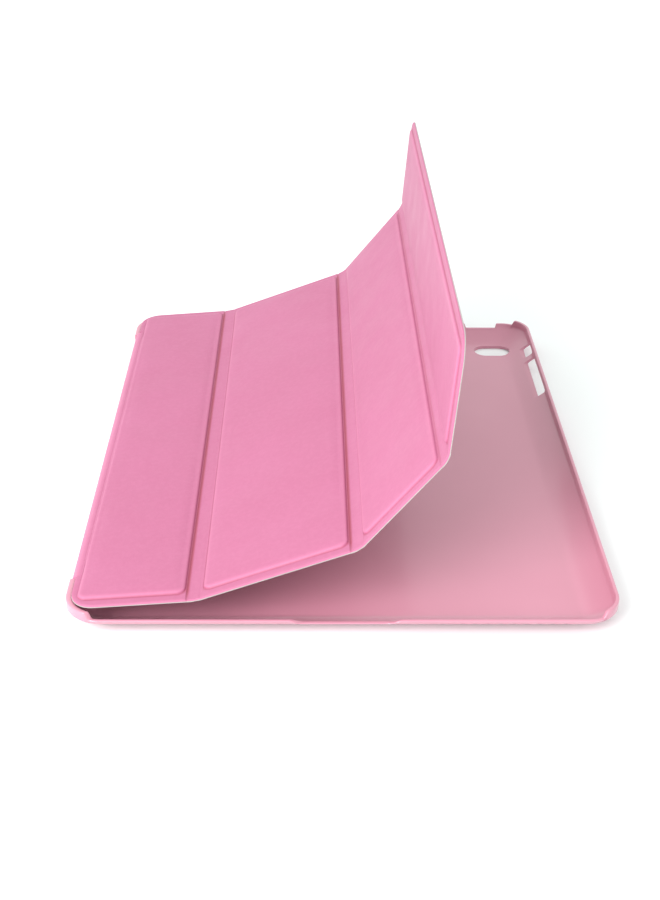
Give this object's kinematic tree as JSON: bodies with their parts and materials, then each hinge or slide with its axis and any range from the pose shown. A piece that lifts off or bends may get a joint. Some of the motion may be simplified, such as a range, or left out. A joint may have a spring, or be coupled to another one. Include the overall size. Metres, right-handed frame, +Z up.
{
  "type": "tablet case",
  "caption": "Clip-on hard back shell for a tablet, with a padded leather-look cover hinged on its left edge that folds along soft strips.",
  "frame": {"origin": "centre of the shell's flat underside, on the surface it lies on", "axes": "+X to the right, away from the hinge; +Y along the long side, away from the dock opening; +Z up, out of the tablet bay"},
  "size_m": [0.1898, 0.2444, 0.1107],
  "materials": {
    "shell_plastic": "satin moulded polycarbonate",
    "pink_leather": "matte fine-grain leather-look polyurethane",
    "microfibre": "brushed microfibre",
    "board": "pressed fibreboard",
    "magnet_steel": "plain nickel plate"
  },
  "bodies": {
    "shell": {"back_shell": "shell_plastic", "spine_tab": "pink_leather", "hinge_low_skin": "pink_leather"},
    "spine": {"spine_skin": "pink_leather", "spine_stiffener": "board", "spine_lining": "microfibre", "hinge_top_skin": "pink_leather", "hinge_top_lining": "microfibre"},
    "panel_1": {"panel_1_skin": "pink_leather", "panel_1_board": "board", "panel_1_lining": "microfibre", "stand_keeper": "magnet_steel", "fold_1_skin": "pink_leather", "fold_1_lining": "microfibre"},
    "panel_2": {"panel_2_skin": "pink_leather", "panel_2_board": "board", "panel_2_lining": "microfibre", "fold_2_skin": "pink_leather", "fold_2_lining": "microfibre"},
    "panel_3": {"panel_3_skin": "pink_leather", "panel_3_board": "board", "panel_3_lining": "microfibre", "fold_3_skin": "pink_leather", "fold_3_lining": "microfibre"},
    "panel_4": {"panel_4_skin": "pink_leather", "panel_4_board": "board", "panel_4_lining": "microfibre", "closing_magnets": "magnet_steel", "wake_magnet": "magnet_steel"}
  },
  "joints": [
    {"name": "spine_hinge", "type": "hinge", "parent": "shell", "child": "spine", "pos_m": [-0.09256, 0, 0.00194], "axis": [0, -1, 0], "range_deg": [0, 90], "deforming": ["hinge_low_skin"]},
    {"name": "cover_hinge", "type": "hinge", "parent": "spine", "child": "panel_1", "pos_m": [-0.09256, 0, 0.01091], "axis": [0, -1, 0], "range_deg": [-4.4, 85.6], "deforming": ["hinge_top_skin", "hinge_top_lining"]},
    {"name": "fold_1_hinge", "type": "hinge", "parent": "panel_1", "child": "panel_2", "pos_m": [-0.04978, 0, 0.01473], "axis": [0, 1, 0], "range_deg": [-73.8, 16.2], "deforming": ["fold_1_skin", "fold_1_lining"]},
    {"name": "fold_2_hinge", "type": "hinge", "parent": "panel_2", "child": "panel_3", "pos_m": [0.00494, 0, 0.03529], "axis": [0, 1, 0], "range_deg": [-59.4, 75.6], "deforming": ["fold_2_skin", "fold_2_lining"]},
    {"name": "fold_3_hinge", "type": "hinge", "parent": "panel_3", "child": "panel_4", "pos_m": [0.03219, 0, 0.0692], "axis": [0, 1, 0], "range_deg": [-55.6, 154.4], "deforming": ["fold_3_skin", "fold_3_lining"]}
  ]
}
